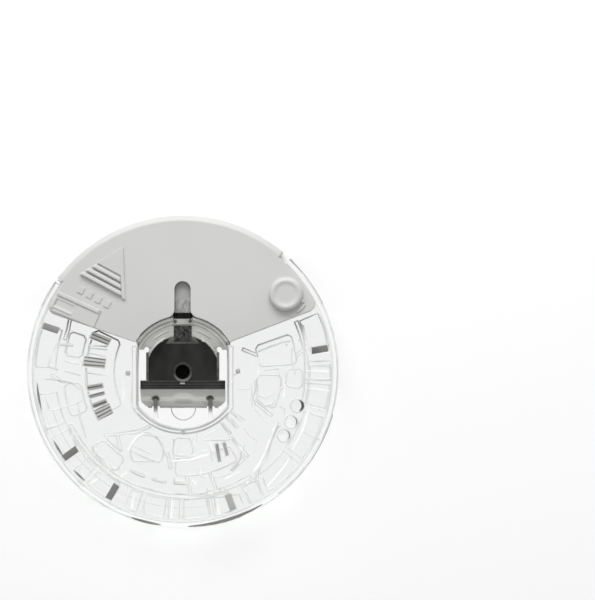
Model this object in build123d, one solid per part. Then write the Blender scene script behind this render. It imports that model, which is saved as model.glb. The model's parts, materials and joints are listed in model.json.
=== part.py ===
"""Round microfluidic test cartridge: two clear bonded discs, a swing cover and a diluent container.

The disc lies flat, its axis on Z and its feet on the plane z = 0. Lengths are in millimetres and
angles in degrees, counted from +X. Most places on the disc are given as a radius and an angle.
"""
import os
from math import atan2, cos, degrees, hypot, radians, sin, sqrt, tan

from build123d import *

os.makedirs("parts", exist_ok=True)

# Discs
disc_radius = 31.0
rim_width = 1.1
foot_height = 1.3
base_thick = 3.6
bond_gap = 0.04
lid_thick = 1.6
lid_gap = 0.08
rim_chamfer = 0.35

# Swing cover
cover_gap = 0.2
plate_thick = 1.0
skirt_thick = 1.4
skirt_gap = 0.3
skirt_from = 50.0
skirt_to = 143.0
skirt_round = 1.0
skirt_foot_chamfer = 0.4
end_gap = 1.9
cover_mouth_radius = 11.1
cover_mouth_y = 5.9
chord_y = 5.2
left_edge_slope = 18.9
right_edge_slope = 21.0
cover_corner = 1.6
rest_gap = 0.15

# Cover pivot
pivot_inset = 5.4
pivot_angle = 37.1
pin_radius = 1.95
pin_play = 0.05
pin_height = 1.35
pin_headroom = 0.15
boss_radius = 3.35
boss_height = 1.55
boss_bevel = 0.6
dish_radius = 2.4
dish_floor_radius = 1.2
dish_depth = 0.45

# Sight slot in the cover
slot_width = 3.2
slot_end_y = 18.0
slot_flare = 1.7

# Arrow grip on the cover
arrow_inset = 7.8
arrow_angle = 133.6
arrow_turn = -28.1
arrow_width = 10.6
arrow_length = 9.0
arrow_height = 0.35
arrow_border = 0.45
tooth_pitch = 1.33
tooth_height = 0.55
tooth_count = 3

# Thumb pad at the free end of the cover
pad_inset = 6.4
pad_angle = 150.0
pad_turn = -24.5
pad_length = 9.6
pad_width = 4.1
pad_height = 0.4
pad_corner = 0.5
pad_dish_length = 4.2
pad_dish_width = 1.9
pad_dish_depth = 0.3

# Centre pocket
pocket_radius = 11.2
pocket_half_width = 8.9
pocket_wall = 1.05
pocket_wall_height = 0.6
pocket_wall_top_y = 5.0
pocket_floor_thick = 1.0

# Diluent container
container_play = 0.25
container_lift = 0.15
container_drop = 0.2
container_wall = 0.8
side_strip = 1.95
body_arc_radius = 7.3
shoulder_y = 4.4
flange_y = -1.7
bend_y = -3.3
nose_y = -6.9
nose_lip = 0.35
nose_chamfer = 1.0
bridge_thick = 0.9
tongue_half_width = 1.75
tongue_tip_y = 12.1
tongue_ramp = 1.2
tongue_thick = 1.4
hook_radius = 0.55
slide_travel = 1.2

# Sealing foil and diluent
foil_thick = 0.12
dimple_radius = 1.39
dimple_depth = 0.3
bead_width = 0.6
bead_height = 0.16
diluent_play = 0.06
headspace = 0.5

# Piercing ribs in the pocket
rib_x = 5.45
rib_thick = 0.8
rib_clearance = 0.35
rib_tip_y = -4.9
rib_point = 0.5
rib_post = 0.9

# Reading cells round the rim
cell_wall = 0.7
cell_length = 3.9
cell_depth = 2.4
ring_wall = 0.35
ring_width = 0.7
hub_wall = 0.6
channel_width = 0.55
channel_depth = 0.9
chamber_depth = 1.9
chamber_corner = 0.6
dome_radius = 3.3
dome_sill = 2.0
dome_angle = 245.5

# Reflecting facets moulded into the lid disc
mark_length = 3.4
mark_width = 1.4
mark_angles = (161.7, 9.4, 216.0, 239.7, 290.2)
facet_depth = 0.75

# Wells with dried reagent
well_inset = 1.3
well_radius = 1.3
well_depth = 1.6
well_angles = (343.6, 335.3, 327.9)
bead_radius = 0.95
bead_thick = 0.9

# Underside
foot_inset = 2.2
foot_width = 1.6
foot_from = 196.0
foot_to = 344.0
drive_radius = 3.4
drive_wall = 1.2

# Worked-out levels and places
under_z = foot_height
base_top = under_z + base_thick
lid_under = base_top + bond_gap
face_z = lid_under + lid_thick
plate_under = face_z + cover_gap
plate_top = plate_under + plate_thick
top_z = plate_top + boss_height
sole_z = rest_gap
sole_top = under_z - cover_gap
rim_inner = disc_radius - rim_width
lid_radius = rim_inner - lid_gap
skirt_inner = disc_radius - skirt_thick
neck_radius = skirt_inner - skirt_gap
plate_edge = rim_inner - skirt_gap
rim_clear = degrees(end_gap / disc_radius)
pocket_floor = under_z + pocket_floor_thick
container_under = pocket_floor + container_lift
container_top = face_z - container_drop
cavity_under = container_under + container_wall
seal_slope = (container_top - container_under - nose_lip) / (bend_y - nose_y)
body_half_width = pocket_half_width - side_strip
nose_half_width = pocket_half_width - 2 * container_play
cell_outer = rim_inner - cell_wall
cell_inner = cell_outer - cell_length
mark_radius = (cell_outer + cell_inner) / 2 + ring_wall
ring_outer = cell_inner - ring_wall
ring_inner = ring_outer - ring_width
hub_edge = pocket_radius + pocket_wall + hub_wall
well_ring = ring_outer - well_inset
foot_outer = disc_radius - foot_inset
pivot_radius = disc_radius - pivot_inset
pivot_x = pivot_radius * cos(radians(pivot_angle))
pivot_y = pivot_radius * sin(radians(pivot_angle))
mouth_x = sqrt(cover_mouth_radius ** 2 - cover_mouth_y ** 2)
big = 2 * disc_radius


def at(radius, angle):
    """Point on the disc at a radius and an angle."""
    return (radius * cos(radians(angle)), radius * sin(radians(angle)))


def slab(face, low, high):
    """Solid that fills a flat outline between two heights."""
    return Pos(0, 0, low) * extrude(face, high - low)


def sector(inner, outer, start, end, corner=0.0):
    """Outline between two radii and two angles, with its corners cut off if asked."""
    face = make_face([
        CenterArc((0, 0), outer, start, end - start),
        Line(at(outer, end), at(inner, end)),
        CenterArc((0, 0), inner, end, start - end),
        Line(at(inner, start), at(outer, start)),
    ])
    return chamfer(face.vertices(), corner) if corner else face


def groove(places, width):
    """Outline of a channel through places given as radius and angle."""
    points = [at(radius, angle) for radius, angle in places]
    outline = Sketch()
    for (x0, y0), (x1, y1) in zip(points, points[1:]):
        run = hypot(x1 - x0, y1 - y0) + width
        turn = degrees(atan2(y1 - y0, x1 - x0))
        outline += Pos((x0 + x1) / 2, (y0 + y1) / 2) * Rot(0, 0, turn) * Rectangle(run, width)
    return outline


def double_d(radius, half_width):
    """Circle with its two sides cut flat."""
    return Circle(radius) & Rectangle(2 * half_width, big)


def cover_wedge():
    """Everything beyond the cover's two straight edges and the line between their inner ends."""
    right = (mouth_x + big, cover_mouth_y + big * tan(radians(right_edge_slope)))
    left = (-mouth_x - big, cover_mouth_y + big * tan(radians(left_edge_slope)))
    return make_face(Polyline(
        (-mouth_x, cover_mouth_y), (mouth_x, cover_mouth_y), right, (right[0], 2 * big),
        (left[0], 2 * big), left, close=True))


def cover_zone(low, high):
    """Solid outside the neck of the discs, where the cover's skirt lies and swings out."""
    zone = sector(neck_radius, big, skirt_from - rim_clear, skirt_to + rim_clear / 2)
    return slab(zone, low, high)


def across(share):
    """Radius at a share of the way from the pocket's wall to the ring channel."""
    return hub_edge + share * (ring_inner - hub_edge)


def chambers():
    """Chambers between the pocket and the ring channel."""
    spans = {
        "right_mixing": (0.20, 0.86, 4.0, 19.5),
        "right_storage": (0.17, 0.59, -22.0, -2.0),
        "metering": (0.37, 0.68, 265.5, 302.0),
        "under_hub": (0.02, 0.33, 262.5, 277.0),
        "left_window": (0.07, 0.56, 154.0, 208.0),
        "left_outer": (0.66, 0.96, 186.0, 202.0),
        "left_upper": (0.65, 0.95, 160.0, 172.0),
        "lower_left": (0.68, 0.97, 220.0, 236.0),
        "right_supply": (0.68, 0.96, -8.0, 1.5),
    }
    outline = Sketch()
    for inner, outer, start, end in spans.values():
        outline += sector(across(inner), across(outer), start, end, chamber_corner)
    dome = Circle(dome_radius) & Pos(0, big / 2 - dome_sill) * Rectangle(big, big)
    return outline + Pos(*at(across(0.39), dome_angle)) * dome


def cells():
    """Reading cells beside the rim."""
    spans = (
        (9.5, 23.5), (-3.2, 2.8), (-14.2, -5.0), (324.0, 342.0), (306.0, 322.0), (297.0, 303.5),
        (282.5, 291.0), (270.5, 280.5), (264.5, 268.5), (253.5, 262.5), (246.5, 251.5),
        (229.5, 240.5), (222.0, 227.5), (206.5, 217.5), (189.0, 203.0), (161.0, 178.0),
    )
    outline = Sketch()
    for start, end in spans:
        outline += sector(cell_inner, cell_outer, start, end)
    return outline


def channels():
    """Capillary channels that join the chambers, the ring and the cells."""
    into_cell = cell_inner + channel_width
    routes = (
        ((disc_radius, 139.0), (into_cell, 147.0), (across(1.0), 160.0), (across(1.0), 164.0)),
        ((into_cell, 181.5), (across(1.0), 184.0), (across(0.8), 186.5)),
        ((across(0.77), 331.0), (across(0.77), 326.0), (across(0.87), 317.0), (across(1.0), 308.0),
         (into_cell, 304.5)),
        ((across(0.30), 306.8), (across(0.71), 307.4)),
        ((across(0.53), 308.5), (across(0.71), 304.5), (across(0.77), 297.0)),
        ((across(0.0), 238.0), (across(0.19), 232.0), (across(0.6), 219.5)),
        ((across(0.6), 231.0), (across(0.45), 224.0)),
        ((across(0.32), 259.5), (across(0.54), 262.5)),
        ((across(0.16), 353.0), (across(0.27), 337.0), (across(0.57), 334.0)),
        ((across(0.0), 20.0), (across(0.22), 12.0)),
        ((across(0.84), 8.0), (into_cell, 12.0)),
        ((across(0.57), 350.0), (across(0.72), 355.0)),
        ((across(0.66), 285.0), (into_cell, 286.0)),
        ((across(0.66), 272.0), (into_cell, 274.0)),
        ((across(0.96), 232.0), (into_cell, 233.5)),
    )
    outline = Sketch()
    for route in routes:
        outline += groove(route, channel_width)
    for angle in (321.0, 314.5, 307.5):
        outline += groove(((across(0.0), angle), (across(0.2), angle)), channel_width)
    for start, end in ((242.0, 250.0), (254.0, 261.0), (265.5, 273.0)):
        outline += sector(across(0.78), across(0.78) + channel_width, start, end)
    return outline


def ring_channel():
    """Air channel that runs round inside the reading cells, in two lengths."""
    return sector(ring_inner, ring_outer, 205.0, 303.0) + sector(ring_inner, ring_outer, -14.0, 24.0)


def piercing_rib():
    """Hooked fin: a post clear of the nose, with a point that leans over the sloping seal."""
    rise = sqrt(1 + seal_slope ** 2) * rib_clearance
    seal_z = container_under + nose_lip + rise
    tip_z = seal_z + (rib_tip_y - nose_y) * seal_slope
    post_y = nose_y - slide_travel - container_play
    arm_z = cavity_under + rib_clearance
    profile = Plane.YZ * make_face(Polyline(
        (post_y, pocket_floor), (post_y, arm_z), (nose_y + (arm_z - seal_z) / seal_slope, arm_z),
        (rib_tip_y, tip_z), (rib_tip_y - rib_point, tip_z), (post_y - rib_post, arm_z + rib_post),
        (post_y - rib_post, pocket_floor), close=True))
    return extrude(profile, rib_thick / 2, both=True)


def base_disc():
    """Lower disc: rim, feet, drive collar, pivot pin, pocket, chambers and channels."""
    body = slab(Circle(disc_radius), under_z, base_top)
    body += slab(Circle(disc_radius) - Circle(rim_inner), base_top, face_z)
    body = chamfer(rim_edges(body)[-1], rim_chamfer)
    body = chamfer(rim_edges(body)[0], rim_chamfer)
    body -= cover_zone(0, top_z)
    body += slab(sector(foot_outer - foot_width, foot_outer, foot_from, foot_to), 0, under_z)
    body += slab(Circle(drive_radius + drive_wall) - Circle(drive_radius), 0, under_z)
    body += slab(Pos(pivot_x, pivot_y) * Circle(pin_radius), sole_z + pin_headroom, under_z)
    body -= slab(double_d(pocket_radius, pocket_half_width), pocket_floor, base_top)
    body -= slab(cells(), base_top - cell_depth, base_top)
    body -= slab(chambers(), base_top - chamber_depth, base_top)
    body -= slab(channels() + ring_channel(), base_top - channel_depth, base_top)
    for angle in well_angles:
        body -= slab(Pos(*at(well_ring, angle)) * Circle(well_radius), base_top - well_depth, base_top)
    for side in (-1, 1):
        body += Pos(side * rib_x, 0, 0) * piercing_rib()
    return body


def facet(radius, angle, length, width, turn=0.0):
    """Wedge cut in the upper face: its floor slopes down across the width."""
    profile = Plane.YZ * make_face(Polyline(
        (-width / 2, 0.0), (width / 2, 0.0), (width / 2, -facet_depth), close=True))
    wedge = extrude(profile, length / 2, both=True)
    return Pos(*at(radius, angle), face_z) * Rot(0, 0, angle + turn) * wedge


def facets():
    """Outer reading facets, one for each marked cell, and the coding facets by the left window."""
    cuts = [facet(mark_radius, angle, mark_length, mark_width) for angle in mark_angles]
    coding = ((157.9, 4.0, 1.5), (174.0, 4.4, 2.1), (189.7, 3.3, 1.1), (195.0, 3.3, 0.7),
              (200.9, 3.1, 1.0), (206.9, 3.4, 2.3))
    cuts += [facet(across(0.42), angle, length, width) for angle, length, width in coding]
    slim = ((293.6, 3.8), (299.0, 3.0))
    cuts += [facet(across(0.41), angle, length, mark_width / 2, -14.0) for angle, length in slim]
    return cuts


def lid_disc():
    """Upper disc inside the rim: pocket opening and its wall, pivot pin, facets, relief."""
    opening = double_d(pocket_radius, pocket_half_width)
    wall = double_d(pocket_radius + pocket_wall, pocket_half_width + pocket_wall) - opening
    wall = wall & Pos(0, pocket_wall_top_y - disc_radius) * Rectangle(big, big)
    body = slab(Circle(lid_radius), lid_under, face_z)
    body -= cover_zone(0, top_z)
    body += slab(wall, face_z, face_z + pocket_wall_height)
    body -= slab(opening, 0, top_z)
    notch = Pos(0, pocket_radius) * Rectangle(
        2 * (tongue_half_width + container_play), 2 * (tongue_tip_y + container_play - pocket_radius))
    body -= slab(notch, 0, top_z)
    body += slab(Pos(pivot_x, pivot_y) * Circle(pin_radius), face_z, plate_under + pin_height)
    for cut in facets():
        body -= cut
    return body


def cover_outline():
    """Outline that both plates of the cover share, before their mouths are cut."""
    plate = Circle(plate_edge) & cover_wedge()
    corners = [v for v in plate.vertices() if abs(v.X) > disc_radius / 2]
    plate = fillet(corners, cover_corner)
    return plate + sector(neck_radius, disc_radius, skirt_from, skirt_to)


def sight_slot():
    """Slot from the mouth of the upper plate, with a round end."""
    end_y = slot_end_y - slot_width / 2
    shaft = Pos(0, end_y / 2) * Rectangle(slot_width, end_y)
    return shaft + Pos(0, end_y) * Circle(slot_width / 2)


def upper_plate():
    """Upper plate of the cover with its mouth, flared slot and rounded ends."""
    outline = cover_outline() - Circle(cover_mouth_radius) - sight_slot()
    flares = [v for v in outline.vertices() if abs(v.X) < slot_width and v.Y < slot_end_y - slot_width]
    return slab(fillet(flares, slot_flare), plate_under, plate_top)


def pivot_boss():
    """Round boss with a dished top, over the pin of the lid disc."""
    boss = Pos(0, 0, plate_under) * Cylinder(
        boss_radius, top_z - plate_under, align=(Align.CENTER, Align.CENTER, Align.MIN))
    boss = chamfer(boss.edges().group_by(Axis.Z)[-1], boss_bevel)
    boss -= Pos(0, 0, top_z) * Cone(dish_floor_radius, dish_radius, 2 * dish_depth)
    return Pos(pivot_x, pivot_y, 0) * boss


def arrow_grip():
    """Raised arrow with saw-toothed steps across its base end."""
    half = arrow_width / 2
    triangle = make_face(Polyline((-half, 0), (half, 0), (0, arrow_length), close=True))
    pad = slab(fillet(triangle.vertices(), arrow_border), plate_top, plate_top + arrow_height)
    profile = Sketch()
    for i in range(tooth_count):
        low = arrow_border + i * tooth_pitch
        profile += make_face(Polyline((low, 0), (low + tooth_pitch, 0), (low, tooth_height), close=True))
    teeth = extrude(Plane.YZ * profile, arrow_width, both=True)
    inside = slab(offset(triangle, -arrow_border, kind=Kind.INTERSECTION), plate_top, top_z)
    teeth = Pos(0, 0, plate_top + arrow_height) * teeth & inside
    return Pos(*at(disc_radius - arrow_inset, arrow_angle)) * Rot(0, 0, arrow_turn) * (pad + teeth)


def thumb_pad():
    """Raised pad with a shallow dish, at the free end of the cover."""
    pad = slab(RectangleRounded(pad_length, pad_width, pad_corner), plate_top, plate_top + pad_height)
    dish = slab(RectangleRounded(pad_dish_length, pad_dish_width, pad_corner),
                plate_top + pad_height - pad_dish_depth, top_z)
    pad -= Pos(-pad_length / 5, 0) * dish
    return Pos(*at(disc_radius - pad_inset, pad_angle)) * Rot(0, 0, pad_turn) * pad


def rim_edges(body):
    """Arcs of a body that lie on the disc's outer edge, in groups from the lowest up."""
    arcs = body.edges().filter_by(GeomType.CIRCLE)
    return arcs.filter_by(lambda arc: abs(arc.radius - disc_radius) < bond_gap).group_by(Axis.Z)


def swing_cover():
    """Cover of C section: upper plate, skirt and sole, with boss, arrow and pad."""
    skirt = slab(sector(skirt_inner, disc_radius, skirt_from, skirt_to), sole_z, plate_top)
    strip = Pos(0, (chord_y + cover_mouth_y) / 2) * Rectangle(2 * mouth_x, cover_mouth_y - chord_y)
    sole = slab(cover_outline() + strip, sole_z, sole_top)
    cover = upper_plate() + skirt + sole
    cover = chamfer(rim_edges(cover)[-1], skirt_round, 0.6 * skirt_round)
    cover = chamfer(rim_edges(cover)[-1], 0.25 * skirt_round)
    cover = chamfer(rim_edges(cover)[0], skirt_foot_chamfer)
    cover += pivot_boss() + arrow_grip() + thumb_pad()
    bearing = Pos(pivot_x, pivot_y) * Circle(pin_radius + pin_play)
    cover -= slab(bearing, 0, plate_under + pin_height + pin_headroom)
    return cover


def nose_outline():
    """Plan of the container's wide nose, with its front corners cut off."""
    half = nose_half_width
    return make_face(Polyline(
        (-half, flange_y), (-half, nose_y + nose_chamfer), (-half + nose_chamfer, nose_y),
        (half - nose_chamfer, nose_y), (half, nose_y + nose_chamfer), (half, flange_y), close=True))


def container_outline():
    """Plan of the container: arched back, narrow body, wide nose and latch tongue."""
    arch = double_d(pocket_radius - container_play, pocket_half_width - container_play)
    arch = arch & Pos(0, shoulder_y + disc_radius) * Rectangle(big, big)
    body_length = shoulder_y - flange_y
    body = Pos(0, flange_y + body_length / 2) * Rectangle(2 * body_half_width, body_length)
    outline = arch + body + nose_outline()
    for side in (-1, 1):
        outline -= Pos(side * (body_half_width + hook_radius / 2), shoulder_y) * Circle(hook_radius)
    return outline


def ahead_of_slope(offset):
    """Solid over the sloping seal face, moved down into the container by offset."""
    low = container_under + nose_lip - offset * sqrt(1 + seal_slope ** 2)
    profile = Plane.YZ * make_face(Polyline(
        (nose_y - big, low - big * seal_slope), (nose_y + big, low + big * seal_slope),
        (nose_y - big, low + big * seal_slope), close=True))
    return extrude(profile, disc_radius, both=True)


def container_cavity(play, top, window_top):
    """Room for the diluent: an arched well joined to a low chamber behind the seal."""
    arc = body_arc_radius - container_wall - play
    half = body_half_width - container_wall - play
    low_y, high_y = flange_y + play, arc
    arch = Circle(arc) & Pos(0, (low_y + high_y) / 2) * Rectangle(2 * half, high_y - low_y)
    well = slab(arch, cavity_under + play, top)
    half_nose = nose_half_width - container_wall - play
    back_y = flange_y + container_wall / 4 - play
    front = Pos(0, (nose_y + back_y) / 2) * Rectangle(2 * half_nose, back_y - nose_y)
    return well + slab(front, cavity_under + play, window_top - play)


def diluent_container():
    """Moulded hollow container with its latch tongue."""
    body = slab(container_outline(), container_under, container_top)
    body -= ahead_of_slope(0)
    body -= container_cavity(0, top_z, container_top - bridge_thick)
    back_y = (body_arc_radius + pocket_radius) / 2
    tongue = Plane.YZ * make_face(Polyline(
        (back_y, container_top - tongue_thick), (tongue_tip_y, container_top - tongue_thick),
        (tongue_tip_y - tongue_ramp, container_top), (back_y, container_top), close=True))
    return body + extrude(tongue, tongue_half_width, both=True)


def sealing_foil():
    """One foil, folded over the bend, that closes the top and the sloping nose."""
    top = Circle(body_arc_radius) & Rectangle(2 * body_half_width, big)
    top = top & Pos(0, flange_y + disc_radius) * Rectangle(big, big)
    sheet = slab(top + nose_outline(), container_under + nose_lip, container_top + foil_thick)
    core = slab(Rectangle(big, big), 0, container_top) - ahead_of_slope(0)
    foil = sheet - ahead_of_slope(-foil_thick) - core
    bead = Pos(0, 0, container_top) * (Circle(dimple_radius + bead_width) - Circle(dimple_radius))
    foil += extrude(bead, foil_thick + bead_height)
    cup_z = container_top - dimple_depth
    foil += slab(Circle(dimple_radius), cup_z, container_top)
    foil -= slab(Circle(dimple_radius - foil_thick), cup_z + foil_thick, top_z)
    return foil


def diluent():
    """Charge of diluent, a little below the foil."""
    charge = container_cavity(diluent_play, container_top - headspace, container_top - bridge_thick)
    return charge - ahead_of_slope(diluent_play)


def reagent_bead(angle):
    """Dried reagent, a low pellet on the floor of its well."""
    floor_z = base_top - well_depth
    return slab(Pos(*at(well_ring, angle)) * Circle(bead_radius), floor_z, floor_z + bead_thick)


pieces = {
    "base_disc": base_disc(),
    "lid_disc": lid_disc(),
    "swing_cover": swing_cover(),
    "diluent_container": diluent_container(),
    "sealing_foil": sealing_foil(),
    "diluent": diluent(),
}
for number, angle in enumerate(well_angles, 1):
    pieces[f"reagent_bead_{number}"] = reagent_bead(angle)

for name, piece in pieces.items():
    export_step(piece, f"parts/{name}.step")
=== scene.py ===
import json
from math import atan2, cos, degrees, hypot, pi, radians, sin
import bpy
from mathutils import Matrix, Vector, noise as grit

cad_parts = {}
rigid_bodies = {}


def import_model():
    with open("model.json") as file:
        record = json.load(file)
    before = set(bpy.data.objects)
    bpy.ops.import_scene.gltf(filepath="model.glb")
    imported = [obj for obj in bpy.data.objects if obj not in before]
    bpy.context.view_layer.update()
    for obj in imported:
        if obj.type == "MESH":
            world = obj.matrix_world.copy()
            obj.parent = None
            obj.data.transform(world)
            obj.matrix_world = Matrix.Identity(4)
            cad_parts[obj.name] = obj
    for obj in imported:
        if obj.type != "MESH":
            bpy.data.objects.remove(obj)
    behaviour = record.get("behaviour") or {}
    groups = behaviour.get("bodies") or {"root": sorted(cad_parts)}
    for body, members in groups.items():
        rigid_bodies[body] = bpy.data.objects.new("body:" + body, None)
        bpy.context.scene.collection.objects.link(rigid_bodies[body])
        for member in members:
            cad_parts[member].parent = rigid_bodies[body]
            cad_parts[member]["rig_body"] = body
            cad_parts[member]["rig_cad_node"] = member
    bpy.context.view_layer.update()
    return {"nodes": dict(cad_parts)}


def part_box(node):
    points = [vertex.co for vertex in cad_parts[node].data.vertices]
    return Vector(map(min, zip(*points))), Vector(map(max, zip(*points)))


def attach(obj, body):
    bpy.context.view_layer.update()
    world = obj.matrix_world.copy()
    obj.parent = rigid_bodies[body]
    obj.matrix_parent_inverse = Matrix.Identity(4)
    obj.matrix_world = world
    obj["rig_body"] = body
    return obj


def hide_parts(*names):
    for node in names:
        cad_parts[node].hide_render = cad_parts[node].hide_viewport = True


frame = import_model()
mm = 0.001
weld = 0.002 * mm   # corners closer than this are merged


# Small helpers for picking and editing

def openMesh(choice="SELECT"):
    bpy.ops.object.mode_set(mode="EDIT")
    bpy.ops.mesh.select_all(action=choice)


def closeMesh():
    bpy.ops.object.mode_set(mode="OBJECT")


def pickNothing():
    if bpy.context.object and bpy.context.object.mode != "OBJECT":
        closeMesh()
    bpy.ops.object.select_all(action="DESELECT")


def pick(*things):
    pickNothing()
    for thing in things:
        thing.select_set(True)
    bpy.context.view_layer.objects.active = things[0]


def at(x, y, z=0):
    # a place given in mm
    return (x * mm, y * mm, z * mm)


def finishModifiers(piece):
    pick(piece)
    for modifier in list(piece.modifiers):
        bpy.ops.object.modifier_apply(modifier=modifier.name)


def addModifier(piece, kind, **settings):
    modifier = piece.modifiers.new(kind.title(), kind)
    for key, value in settings.items():
        setattr(modifier, key, value)


def smoothPiece(piece, angle=35):
    pick(piece)
    bpy.ops.object.shade_smooth_by_angle(angle=radians(angle))


def copyOf(node, name):
    # a merged copy of a CAD node, ready for bevels
    pick(frame["nodes"][node])
    bpy.ops.object.duplicate()
    piece = bpy.context.object
    piece.name = piece.data.name = name
    piece.parent = None
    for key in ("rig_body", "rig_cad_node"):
        if key in piece:
            del piece[key]
    pick(piece)
    openMesh()
    bpy.ops.mesh.remove_doubles(threshold=weld)
    bpy.ops.mesh.beautify_fill(angle_limit=radians(0.5))   # only faces that are flat together
    closeMesh()
    bpy.ops.mesh.customdata_custom_splitnormals_clear()
    return piece


def setDown(piece, name):
    # place and turn go into the mesh, and its faces point outwards
    pick(piece)
    bpy.ops.object.transform_apply(location=True, rotation=True, scale=True)
    openMesh()
    bpy.ops.mesh.remove_doubles(threshold=weld)
    bpy.ops.mesh.normals_make_consistent(inside=False)
    closeMesh()
    piece.name = piece.data.name = name
    return piece


def arcBar(name, inner, outer, start, end, low, high, centre=(0, 0)):
    # a bar between two radii and two angles, spun round the centre
    middle, turn = (inner + outer) / 2, radians(start)
    pickNothing()
    bpy.ops.mesh.primitive_plane_add(
        size=1, rotation=(pi / 2, 0, turn),
        location=at(centre[0] + middle * cos(turn), centre[1] + middle * sin(turn), (low + high) / 2))
    piece = bpy.context.object
    piece.scale = ((outer - inner) * mm, (high - low) * mm, 1)
    bpy.ops.object.transform_apply(location=True, rotation=True, scale=True)
    openMesh()
    bpy.ops.mesh.spin(steps=max(6, int((end - start) / 5)), angle=-radians(end - start),
                      center=at(*centre), axis=(0, 0, 1))
    closeMesh()
    return setDown(piece, name)


def block(name, place, size, turn=0.0):
    # a straight block, given by its middle and its size in mm
    pickNothing()
    bpy.ops.mesh.primitive_cube_add(size=1, location=at(*place), rotation=(0, 0, radians(turn)))
    piece = bpy.context.object
    piece.scale = at(*size)
    return setDown(piece, name)


def turned(name, centre, profile, steps=72):
    # a ring is drawn up and in from one radius and height to the next, then closed on top
    pickNothing()
    radius, height = profile[0]
    bpy.ops.mesh.primitive_circle_add(vertices=steps, radius=radius * mm, fill_type="NGON",
                                      location=at(*centre, height))
    piece = bpy.context.object
    bpy.ops.object.mode_set(mode="EDIT")
    for nextRadius, nextHeight in profile[1:]:
        bpy.ops.mesh.extrude_region_move(
            TRANSFORM_OT_translate={"value": (0, 0, (nextHeight - height) * mm)})
        share = nextRadius / radius
        bpy.ops.transform.resize(value=(share, share, 1), center_override=at(*centre, nextHeight))
        radius, height = nextRadius, nextHeight
    closeMesh()
    return setDown(piece, name)


def boolean(piece, cutter, kind="DIFFERENCE"):
    addModifier(piece, "BOOLEAN", object=cutter, operation=kind, solver="EXACT")
    finishModifiers(piece)
    pick(cutter)
    bpy.ops.object.delete()
    return piece


def softened(piece, width, segments=3, angle=40):
    addModifier(piece, "BEVEL", width=width * mm, segments=segments, limit_method="ANGLE",
                angle_limit=radians(angle))
    finishModifiers(piece)
    return piece


def placedAt(piece, x, y, turn):
    # from its own place round the origin to its place on the disc
    piece.location = at(x, y)
    piece.rotation_euler = (0, 0, radians(turn))
    pick(piece)
    bpy.ops.object.transform_apply(location=True, rotation=True, scale=True)
    return piece


def joined(pieces, name):
    pick(*pieces)
    if len(pieces) > 1:
        bpy.ops.object.join()
    piece = bpy.context.object
    piece.name = piece.data.name = name
    return piece


def edgesWithSides(piece):
    # every edge with the faces beside it
    sides = [[] for _ in piece.data.edges]
    for face in piece.data.polygons:
        for key in face.loop_indices:
            sides[piece.data.loops[key].edge_index].append(face)
    return zip(piece.data.edges, sides)


def bendOf(sides):
    # the angle between an edge's two faces in degrees, or 0 where it hasn't two
    return degrees(sides[0].normal.angle(sides[1].normal, 0)) if len(sides) == 2 else 0


def roundEdges(piece, width, segments=2, angle=30, edgeSlot=-1, fine=None, outerOnly=False):
    # every edge sharper than the angle gets a soft moulded round, finer where fine says so
    weights = piece.data.attributes.new("bevel_weight_edge", "FLOAT", "EDGE")
    corners = piece.data.vertices
    for edge, sides in edgesWithSides(piece):
        sharp = bendOf(sides) > angle
        if sharp and outerOnly:
            sharp = (sides[1].center - sides[0].center).dot(sides[0].normal) < 0
        if sharp:
            weights.data[edge.index].value = fine(corners[edge.vertices[0]].co.z / mm) if fine else 1.0
    addModifier(piece, "BEVEL", width=width * mm, segments=segments, limit_method="WEIGHT",
                use_clamp_overlap=False, material=edgeSlot)
    finishModifiers(piece)
    smoothPiece(piece)
    addModifier(piece, "WEIGHTED_NORMAL", weight=80, keep_sharp=True)
    finishModifiers(piece)


# Finishes: a look says what the shader's inputs are, how its tone wanders, and its grain

shaderInputs = {"roughness": "Roughness", "ior": "IOR", "clearness": "Transmission Weight",
                "metallic": "Metallic", "shine": "Specular IOR Level"}


def newMaterial(name, look):
    material = bpy.data.materials.new(name)
    material.use_nodes = True
    nodes, links = material.node_tree.nodes, material.node_tree.links
    nodes.clear()
    output = nodes.new("ShaderNodeOutputMaterial")
    shader = nodes.new("ShaderNodeBsdfPrincipled")
    links.new(shader.outputs["BSDF"], output.inputs["Surface"])
    for key, socket in shaderInputs.items():
        if key in look:
            shader.inputs[socket].default_value = look[key]
    return material, nodes, links, shader, output


def noiseOn(nodes, links, scale, detail=2.0, stretch=(1, 1, 1)):
    place = nodes.new("ShaderNodeTexCoord")
    mapping = nodes.new("ShaderNodeMapping")
    mapping.inputs["Scale"].default_value = stretch
    noise = nodes.new("ShaderNodeTexNoise")
    noise.inputs["Scale"].default_value = scale
    noise.inputs["Detail"].default_value = detail
    links.new(place.outputs["Object"], mapping.inputs["Vector"])
    links.new(mapping.outputs["Vector"], noise.inputs["Vector"])
    return noise.outputs["Fac"]


def grainOn(nodes, links, shader, grain):
    # bump by the noise's scale and detail, and its strength and height in mm
    scale, detail, strength, height = grain
    bump = nodes.new("ShaderNodeBump")
    bump.inputs["Strength"].default_value = strength
    bump.inputs["Distance"].default_value = height * mm
    links.new(noiseOn(nodes, links, scale, detail), bump.inputs["Height"])
    links.new(bump.outputs["Normal"], shader.inputs["Normal"])


def rampOn(nodes, links, source, low, high, start=0.35, end=0.65):
    ramp = nodes.new("ShaderNodeValToRGB")
    for element, place, colour in zip(ramp.color_ramp.elements, (start, end), (low, high)):
        element.position = place
        element.color = (*colour, 1)
    links.new(source, ramp.inputs["Fac"])
    return ramp.outputs["Color"]


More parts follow.
